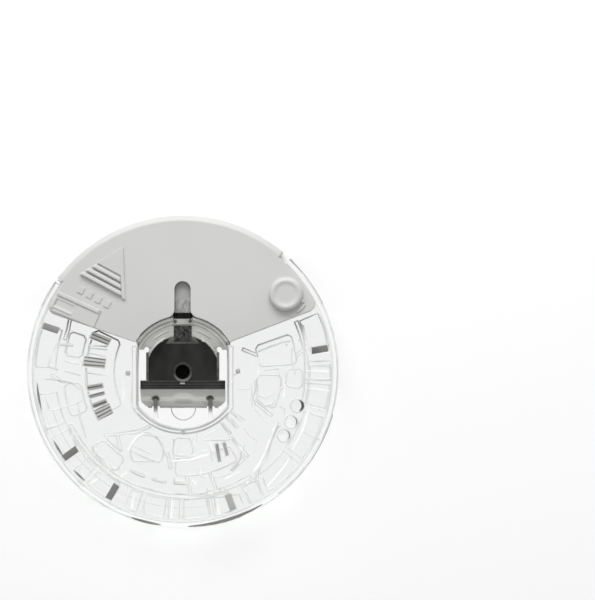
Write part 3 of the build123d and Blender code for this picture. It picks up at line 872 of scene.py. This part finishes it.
def makeCoverPlates():
    # the plates and the skirt: what stands on the upper plate is cut off, and the cut is closed; makeCover
    # rounds the outline
    form = coverForm
    piece = copyOf("swing_cover", "swingCoverLook")
    level = (form["plateTop"] - form["cutBelow"]) * mm
    nearCut = level - 0.001 * mm
    openMesh()
    bpy.ops.mesh.bisect(plane_co=(0, 0, level), plane_no=(0, 0, 1), clear_outer=True, threshold=0.001 * mm)
    closeMesh()
    corners = piece.data.vertices
    for wanted in (True, False):   # the pivot's hole is closed first, then the plate
        pick(piece)
        openMesh("DESELECT")
        closeMesh()
        for edge in piece.data.edges:
            if min(corners[key].co.z for key in edge.vertices) > nearCut:
                place = corners[edge.vertices[0]].co / mm
                near = hypot(place.x - form["pivot"][0], place.y - form["pivot"][1]) < form["pivotReach"]
                edge.select = near == wanted
        bpy.ops.object.mode_set(mode="EDIT")
        bpy.ops.mesh.select_mode(type="EDGE")
        bpy.ops.mesh.edge_face_add()
        closeMesh()
    bpy.ops.object.mode_set(mode="EDIT")
    bpy.ops.mesh.select_mode(type="VERT")
    bpy.ops.mesh.select_all(action="DESELECT")
    closeMesh()
    for corner in corners:
        corner.select = corner.co.z > nearCut
    bpy.ops.object.mode_set(mode="EDIT")
    bpy.ops.mesh.remove_doubles(threshold=form["mergeCut"] * mm)
    closeMesh()
    return piece


def upperRim(height):
    return 1.0 if height > coverForm["plateTop"] - 0.1 else coverForm["lowerShare"]


def makeBoss():
    form = coverForm
    x, y = form["pivot"]
    boss = turned("boss", (x, y), form["bossProfile"])
    tab = softened(arcBar("tab", *form["tab"], centre=(x, y)), form["tabRound"])
    reach, angle = form["dot"]
    dotPlace = (x + reach * cos(radians(angle)), y + reach * sin(radians(angle)))
    return [boss, tab, turned("dot", dotPlace, form["dotProfile"], 24)]


arrowForm = {"place": (-16.0, 16.8), "turn": -28.1, "width": 10.6, "length": 9.0, "height": 0.44,
             "leftMargin": 0.12, "rightMargin": 0.8, "teeth": 3, "firstTooth": 0.25, "pitch": 1.2,
             "toothDeep": 0.84, "toothTop": 0.82, "toothFoot": 0.72, "toothRound": 0.28, "groove": 0.04,
             "round": 0.13}


def makeArrow():
    # a triangle with a tray cut into it, and the teeth that stand in the tray
    form = arrowForm
    floor = coverForm["plateTop"]
    length, half, high = form["length"], form["width"] / 2, form["height"]
    pickNothing()
    bpy.ops.mesh.primitive_cylinder_add(vertices=3, radius=form["width"] / 3 ** 0.5 * mm,
                                        depth=(high + 0.1) * mm,
                                        location=at(0, length / 3, floor + high / 2 - 0.05))
    plate = bpy.context.object
    plate.scale.y = length / (form["width"] * 0.75 ** 0.5)
    setDown(plate, "arrow")

    def sideAt(y, side, extra=0.0):
        margin = form["leftMargin"] if side < 0 else form["rightMargin"]
        return side * (half * (1 - y / length) - margin + extra)

    deep = form["firstTooth"] + form["teeth"] * form["pitch"]
    tray = block("tray", (0, deep / 2 - 0.3, floor + form["groove"] + 0.5), (2, deep + 0.6, 1.0))
    for corner in tray.data.vertices:
        y = corner.co.y / mm
        corner.co.x = (sideAt(y, 1) if corner.co.x > 0 else sideAt(y, -1, 1.0)) * mm
    boolean(plate, tray)
    parts = [softened(plate, form["round"])]
    for number in range(form["teeth"]):
        middle = form["firstTooth"] + number * form["pitch"] + form["toothDeep"] / 2
        tooth = block("tooth", (0, middle, floor + form["toothTop"] / 2),
                      (2, form["toothDeep"], form["toothTop"]))
        for corner in tooth.data.vertices:
            front = corner.co.y / mm < middle
            corner.co.x = sideAt(corner.co.y / mm, 1 if corner.co.x > 0 else -1) * mm
            if corner.co.z / mm > floor + 0.1 and not front:
                corner.co.z = (floor + form["toothFoot"]) * mm
        parts.append(softened(tooth, form["toothRound"], 4, 30))
    return placedAt(joined(parts, "arrow"), *form["place"], form["turn"])


padForm = {"place": (-21.3, 12.3), "turn": -24.5, "size": (9.6, 4.1), "height": 0.22, "ridge": (0.85, 0.5),
           "cornerLift": 0.45, "dish": (4.3, 1.8), "dishPlace": (-2.2, -0.1), "dishFloor": 0.1,
           "rounds": {"dish": 0.4, "pad": 0.12, "ridge": 0.36, "side": 0.26, "lip": 0.17}}


def makePad():
    # the thumb pad: a plate with a dish, a ridge along its top, one along its side and the dish's lip
    form = padForm
    rounds = form["rounds"]
    floor = coverForm["plateTop"]
    length, width = form["size"]
    dishX, dishY = form["dishPlace"]
    dishLong, dishWide = form["dish"]
    ridgeWide, ridgeHigh = form["ridge"]
    pad = block("pad", (0, 0, floor + form["height"] / 2 - 0.05), (length, width, form["height"] + 0.1))
    for corner in pad.data.vertices:   # its lower edge follows the plate's edge
        if corner.co.x > 0 and corner.co.y < 0:
            corner.co.y += form["cornerLift"] * mm
    dish = block("dish", (dishX, dishY, floor + form["dishFloor"] + 0.5), (dishLong, dishWide, 1.0))
    boolean(pad, softened(dish, rounds["dish"], 4, 60))
    parts = [softened(pad, rounds["pad"], 3)]
    for name, place, size, segments in (
            ("ridge", (0, width / 2 - ridgeWide / 2, floor + ridgeHigh / 2 - 0.02),
             (length - 0.3, ridgeWide, ridgeHigh), 5),
            ("side", (-length / 2 + ridgeWide / 2, -0.2, floor + ridgeHigh / 2 - 0.09),
             (ridgeWide * 0.8, width - 1.0, ridgeHigh - 0.08), 4),
            ("lip", (dishX, dishY - dishWide / 2 - 0.16, floor + ridgeHigh / 2 - 0.1),
             (dishLong - 0.3, 0.5, ridgeHigh - 0.12), 4)):
        parts.append(softened(block(name, place, size), rounds[name], segments))
    return placedAt(joined(parts, "pad"), *form["place"], form["turn"])


gripForm = {"place": (-17.45, 14.85), "turn": -28.1, "bars": 4, "pitch": 1.95, "size": (1.15, 1.45, 0.16),
            "sunk": 0.06, "round": 0.09}


def makeGrip():
    # short plain grip bars between the arrow and the pad
    form = gripForm
    wide, long, high = form["size"]
    level = coverForm["plateTop"] + high / 2 - form["sunk"] / 2
    bars = []
    for number in range(form["bars"]):
        x = (number - (form["bars"] - 1) / 2) * form["pitch"]
        bars.append(softened(block("bar", (x, 0, level), (wide, long, high + form["sunk"])), form["round"]))
    return placedAt(joined(bars, "grip"), *form["place"], form["turn"])


def makeCover():
    plates = makeCoverPlates()
    plates.data.materials.clear()
    roundEdges(plates, coverForm["bevel"], coverForm["segments"], 20, fine=upperRim, outerOnly=True)
    extras = joined(makeBoss() + [makeArrow(), makePad(), makeGrip()], "coverRelief")
    smoothPiece(extras, 50)
    addModifier(extras, "WEIGHTED_NORMAL", weight=90, keep_sharp=True)
    finishModifiers(extras)
    piece = joined([plates, extras], "swingCoverLook")
    dress(piece, coverGrey)
    return assign(piece, "cover", "swing_cover")


swingCover = makeCover()
print("cover made", len(swingCover.data.polygons))

# Container, foil, diluent and reagent

containerForm = {"bevel": 0.1}


def makeContainer():
    piece = copyOf("diluent_container", "containerLook")
    dress(piece, containerGrey)
    roundEdges(piece, containerForm["bevel"])
    assign(piece, "container", "diluent_container")


foilForm = {"bevel": 0.05, "dimpleRadius": 1.37, "dimpleDeep": 0.1, "slope": 0.3}


def makeFoilPiece():
    form = foilForm
    piece = copyOf("sealing_foil", "sealingFoilLook")
    dress(piece, foilDark, sealPaintedLight, dimplePaintedReflection)
    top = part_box("sealing_foil")[1].z
    for face in piece.data.polygons:
        away = hypot(face.center.x, face.center.y) / mm
        # the slope takes the painted light and shade
        if face.normal.y < -form["slope"] and face.normal.z > form["slope"]:
            face.material_index = 1
        # the dimple's faces take the painted dark reflection
        elif away < form["dimpleRadius"] and face.center.z < top - form["dimpleDeep"] * mm:
            face.material_index = 2
    roundEdges(piece, form["bevel"])
    assign(piece, "container", "sealing_foil")


# the head is knurled by noise, and both it and the shoulder are given by their span on Y and their top
latchHead = {"width": 3.5, "from": 6.05, "to": 9.15, "top": 6.66, "thick": 0.3, "cuts": 18, "edge": 0.3,
             "knurl": 2.2, "seed": 3.7, "relief": 0.06, "edgeDrop": 0.04}
latchShoulder = {"width": 6.7, "from": 5.6, "to": 7.0, "top": 6.56, "thick": 0.12, "backShare": 0.72,
                 "round": 0.05}


def latchBlock(name, form):
    middle, long = (form["from"] + form["to"]) / 2, form["to"] - form["from"]
    return block(name, (0, middle, form["top"] - form["thick"] / 2), (form["width"], long, form["thick"]))


def makeLatch():
    # the knurled head of the latch tongue and the two shoulders beside it
    form = latchHead
    head = latchBlock("latchHead", form)
    openMesh()
    bpy.ops.mesh.subdivide(number_cuts=form["cuts"])
    closeMesh()
    for corner in head.data.vertices:
        if corner.co.z > (form["top"] - 0.01) * mm:
            x, y = corner.co.x / mm, corner.co.y / mm
            inward = min(form["width"] / 2 - abs(x), form["to"] - y, y - form["from"])
            edge = min(1.0, inward / form["edge"])
            rough = grit.noise(Vector((x * form["knurl"], y * form["knurl"], form["seed"])))
            corner.co.z += (form["relief"] * (rough - 0.5) - form["edgeDrop"] * (1 - edge)) * mm
    settle(head, latchDark, "container", 60)
    form = latchShoulder
    shoulder = latchBlock("latchShoulder", form)
    for corner in shoulder.data.vertices:   # the back edge is narrower
        if corner.co.y > (form["from"] + form["to"]) / 2 * mm:
            corner.co.x *= form["backShare"]
    settle(softened(shoulder, form["round"], 2), shoulderGrey, "container")


ridges = {"rows": ((9.65, 10.05, 26, 84), (9.65, 10.05, 96, 154), (7.4, 7.75, 33, 62), (7.4, 7.75, 118, 150),
                   (8.55, 8.8, 50, 71), (8.55, 8.8, 109, 130)), "low": 6.3, "high": 6.5, "round": 0.05,
          "blobs": ((-4.3, 6.2), (4.1, 6.2), (-1.9, 9.6), (1.9, 9.6)), "blobSize": (0.7, 0.45, 0.12),
          "blobSunk": 0.02, "blobTurn": 20}


def makeRidges():
    # raised arcs on the arched back of the container
    form = ridges
    bars = [arcBar("ridge", *row, form["low"], form["high"]) for row in form["rows"]]
    for x, y in form["blobs"]:
        turn = form["blobTurn"] if x < 0 else -form["blobTurn"]
        bars.append(block("ridge", (x, y, form["high"] - form["blobSunk"]), form["blobSize"], turn))
    piece = softened(joined(bars, "containerRidges"), form["round"], 2)
    settle(piece, ridgePale, "container")


# place of the middle, size and round of each small plate under the cover's slot
slotPlates = (
    # a grey land on the lid disc, with a grained half: painted shade for the cover's shaded lower plate seen
    # through the slot
    ("slotLand", (0, 14.9, 6.56), (3.1, 6.3, 0.06), 0.02, 2, landPaintedShade, "disc", "clear_plastic"),
    ("slotGrain", (0, 13.2, 6.6), (2.9, 2.9, 0.06), 0.025, 2, grainPaintedShade, "disc", "clear_plastic"),
    # the dark grained end of the latch tongue, and the paler step below it
    ("latchBar", (0, 11.1, 6.6), (3.7, 1.0, 0.16), 0.06, 3, barDark, "container", "container_plastic"),
    ("latchStep", (0, 9.95, 6.56), (4.2, 1.1, 0.1), 0.045, 3, stepGrey, "container", "container_plastic"),
)
latchSpots = {"places": ((-1.5, 10.0), (1.5, 10.1)), "profile": ((0.36, 6.5), (0.36, 6.64), (0.25, 6.67)),
              "steps": 20}


def makeSlotPlates():
    for name, place, size, width, segments, material, body, slot in slotPlates:
        settle(softened(block(name, place, size), width, segments), material, body)
    form = latchSpots
    paintedSpots = [turned("spot", place, form["profile"], form["steps"]) for place in form["places"]]
    settle(joined(paintedSpots, "latchSpots"), shoulderGrey, "container")


noseLip = {"spans": ((-7.05, -6.2), (-4.7, 4.7), (6.2, 7.05)), "from": -7.25, "to": -6.4, "low": 2.5,
           "high": 2.85, "round": 0.16}


def makeNoseLip():
    # soft lip along the container's nose, open where the ribs stand
    form = noseLip
    y, z = (form["from"] + form["to"]) / 2, (form["low"] + form["high"]) / 2
    long, high = form["to"] - form["from"], form["high"] - form["low"]
    bars = [block("lip", ((left + right) / 2, y, z), (right - left, long, high))
            for left, right in form["spans"]]
    settle(softened(joined(bars, "noseLip"), form["round"], 4), lipFrost, "container")


dimpleRing = {"arc": (1.43, 1.97, 0, 360), "low": 6.5, "high": 6.67, "round": 0.06,
              "lipPlace": (-0.05, -2.27, 6.53), "lipSize": (1.0, 0.3, 0.1), "lipRound": 0.045}


def makeDimpleRing():
    form = dimpleRing
    ring = softened(arcBar("dimpleRing", *form["arc"], form["low"], form["high"]), form["round"])
    settle(ring, ringPaintedLight, "container")
    lip = softened(block("dimpleLip", form["lipPlace"], form["lipSize"]), form["lipRound"])
    settle(lip, stepGrey, "container")


bodyLines = {"side": 7.0, "sideSize": (0.5, 5.5, 0.2), "sideMiddle": 1.15, "sideTop": 6.52, "sideRound": 0.08,
             # place on Y and width of each crease
             "creases": ((-1.85, 0.22), (-2.4, 0.16), (-2.95, 0.14)), "creaseLong": 16.3,
             "creaseHigh": 0.06, "creaseTop": 6.49, "creaseRound": 0.025}


def makeBodyLines():
    # the container's sides, seen beside the foil, and the creases along the foil's flange, both near black as
    # painted shade
    form = bodyLines
    level = form["sideTop"] - form["sideSize"][2] / 2
    sides = [softened(block("side", (turn * form["side"], form["sideMiddle"], level), form["sideSize"]),
                      form["sideRound"]) for turn in (-1, 1)]
    settle(joined(sides, "bodySides"), sidePaintedShade, "container")
    level = form["creaseTop"] - form["creaseHigh"] / 2
    lines = [softened(block("line", (0, y, level), (form["creaseLong"], wide, form["creaseHigh"])),
                      form["creaseRound"], 2) for y, wide in form["creases"]]
    settle(joined(lines, "flangeCreases"), creasePaintedShade, "container")


pocketEdge = {"inner": (11.22, 11.62, 217, 323, 6.95, 7.19), "outer": (11.95, 12.2, 222, 318, 6.95, 7.17),
              "side": (9.08, -0.9, 7.07), "sideSize": (0.3, 11.6, 0.24), "round": 0.08}


def makePocketEdge():
    # grey bars on the inner edge of the pocket's wall: painted shade for how it looks grey from above
    form = pocketEdge
    x, y, z = form["side"]
    bars = [arcBar("edge", *form["inner"])]
    bars += [block("edge", (turn * x, y, z), form["sideSize"]) for turn in (-1, 1)]
    bars += [arcBar("edge", *form["outer"])]
    settle(softened(joined(bars, "pocketEdge"), form["round"]), edgeGrey, "disc")


backBand = {"arc": (10.45, 10.98, 34, 146), "low": 6.2, "high": 6.43, "round": 0.06}


def makeBackBand():
    # pale band along the container's arched back, below the cover's mouth: painted light that lifts the
    # cover's shadow there
    form = backBand
    piece = softened(arcBar("backBand", *form["arc"], form["low"], form["high"]), form["round"])
    settle(piece, bandPaintedLight, "container")


wells = {"ring": 23.65, "angles": (343.6, 335.3, 327.9), "radius": 1.1, "widths": (0.56, 0.16, 0.16),
         "spans": ((-70, 75), (-50, 80), (-55, 70)), "steps": 16, "thinEnd": 0.15, "level": 5.3,
         "flatness": 0.4}


def makeWellShades():
    # dark crescents where each well's wall turns light away
    form = wells
    steps = form["steps"]
    lines = []
    for angle, width, (start, end) in zip(form["angles"], form["widths"], form["spans"]):
        x, y = form["ring"] * cos(radians(angle)), form["ring"] * sin(radians(angle))
        turns = [radians(start + (end - start) * number / steps) for number in range(steps + 1)]
        places = [(x + form["radius"] * cos(turn), y + form["radius"] * sin(turn)) for turn in turns]
        radii = [form["thinEnd"] + (1 - form["thinEnd"]) * sin(pi * number / steps)
                 for number in range(steps + 1)]
        lines.append(penLine(places, width, radii))
    pressed(lines, "wellShades", wellShade, form["level"], form["flatness"])


pocketSeat = {"ring": (2.32, 2.5, 0, 360, 2.28, 2.40), "centre": (0, -7.25),
              "nubs": ((-10.85, -0.2), (10.95, 0.2), (0.1, -11.9)), "nubRadius": 0.5, "nubLevel": 6.56,
              "nubFlatness": 0.5}


def makePocketSeat():
    # round seat on the pocket's floor, and three small nubs round the pocket's wall
    form = pocketSeat
    settle(arcBar("pocketRing", *form["ring"], centre=form["centre"]), edgeGrey, "disc")
    nubs = []
    for x, y in form["nubs"]:
        pickNothing()
        bpy.ops.mesh.primitive_uv_sphere_add(segments=24, ring_count=12, radius=form["nubRadius"] * mm,
                                             location=at(x, y, form["nubLevel"]))
        nub = bpy.context.object
        nub.scale = (1, 1, form["nubFlatness"])
        nubs.append(setDown(nub, "nub"))
    settle(joined(nubs, "pocketNubs"), edgeGrey, "disc", 60)


makeContainer()
makeLatch()
makeRidges()
makeSlotPlates()
makeNoseLip()
makeDimpleRing()
makePocketSeat()
makeBodyLines()
makePocketEdge()
makeBackBand()
makeWellShades()
makeFoilPiece()
dress(frame["nodes"]["diluent"], liquidClear)
for number in (1, 2, 3):
    dress(frame["nodes"][f"reagent_bead_{number}"], reagentWhite)
print("container made")

# Floor, light and camera

stageLook = {"size": 3.0, "below": 0.02, "colour": (0.9, 0.9, 0.9), "roughness": 0.9, "shine": 0.0,
             "glow": 0.14, "behind": 1.0, "sky": 0.38}
white = (1, 1, 1, 1)


def makeFloor():
    look = stageLook
    bpy.ops.mesh.primitive_plane_add(size=look["size"], location=at(0, 0, -look["below"]))
    floor = bpy.context.object
    floor.name = "floor"
    material, nodes, links, shader, output = newMaterial("floorPaper", look)
    shader.inputs["Base Color"].default_value = (*look["colour"], 1)
    path = nodes.new("ShaderNodeLightPath")
    glow, behind = nodes.new("ShaderNodeEmission"), nodes.new("ShaderNodeEmission")
    glow.inputs["Color"].default_value = behind.inputs["Color"].default_value = white
    behind.inputs["Strength"].default_value = look["behind"]
    total = mathOn(nodes, links, "MAXIMUM", path.outputs["Is Camera Ray"], path.outputs["Is Glossy Ray"])
    links.new(mathOn(nodes, links, "MULTIPLY", total, look["glow"]), glow.inputs["Strength"])
    both = nodes.new("ShaderNodeAddShader")
    links.new(shader.outputs["BSDF"], both.inputs[0])
    links.new(glow.outputs["Emission"], both.inputs[1])
    mix = nodes.new("ShaderNodeMixShader")   # seen through clear plastic, the floor is plain white
    links.new(path.outputs["Is Transmission Ray"], mix.inputs[0])
    links.new(both.outputs["Shader"], mix.inputs[1])
    links.new(behind.outputs["Emission"], mix.inputs[2])
    links.new(mix.outputs["Shader"], output.inputs["Surface"])
    dress(floor, material)


makeFloor()

lamps = {
    "key": {"place": (-0.06, 0.56, 0.39), "size": (0.7, 0.3), "power": 4.15},
    "top": {"place": (0.0, 0.34, 0.75), "size": (0.5, 0.3), "power": 0.8},
    "front": {"place": (0.12, -0.5, 0.42), "size": (0.6, 0.4), "power": 0.35},
}


def makeLamp(name):
    settings = lamps[name]
    bpy.ops.object.light_add(type="AREA", location=settings["place"])
    lamp = bpy.context.object
    lamp.name = name + "Lamp"
    lamp.data.shape = "RECTANGLE"
    lamp.data.size, lamp.data.size_y = settings["size"]
    lamp.data.energy = settings["power"]
    lamp.rotation_euler = Vector(settings["place"]).to_track_quat("Z", "Y").to_euler()


for lampName in lamps:
    makeLamp(lampName)

world = bpy.data.worlds.new("studio")
bpy.context.scene.world = world
world.use_nodes = True
world.node_tree.nodes["Background"].inputs["Color"].default_value = white
world.node_tree.nodes["Background"].inputs["Strength"].default_value = stageLook["sky"]

# the picture's size and the disc's middle and width in it are in pixels, the rest is in mm
cameraForm = {"width": 595, "height": 600, "discCentre": (182.7, 372.0), "discPixels": 313.0,
              "discWidth": 62.0, "faceHeight": 6.5, "lens": 200.0, "sensor": 36.0}


def makeCamera():
    look = cameraForm
    pitch = look["discWidth"] / look["discPixels"]
    middleX = (look["width"] / 2 - look["discCentre"][0]) * pitch
    middleY = (look["discCentre"][1] - look["height"] / 2) * pitch
    distance = look["height"] * pitch * look["lens"] / look["sensor"]
    bpy.ops.object.camera_add(location=at(middleX, middleY, look["faceHeight"] + distance), rotation=(0, 0, 0))
    camera = bpy.context.object
    camera.data.lens = look["lens"]
    camera.data.sensor_width = look["sensor"]
    camera.data.clip_start, camera.data.clip_end = 0.01, 20
    bpy.context.scene.camera = camera


makeCamera()
bpy.context.scene.view_settings.view_transform = "Standard"
print("stage made")
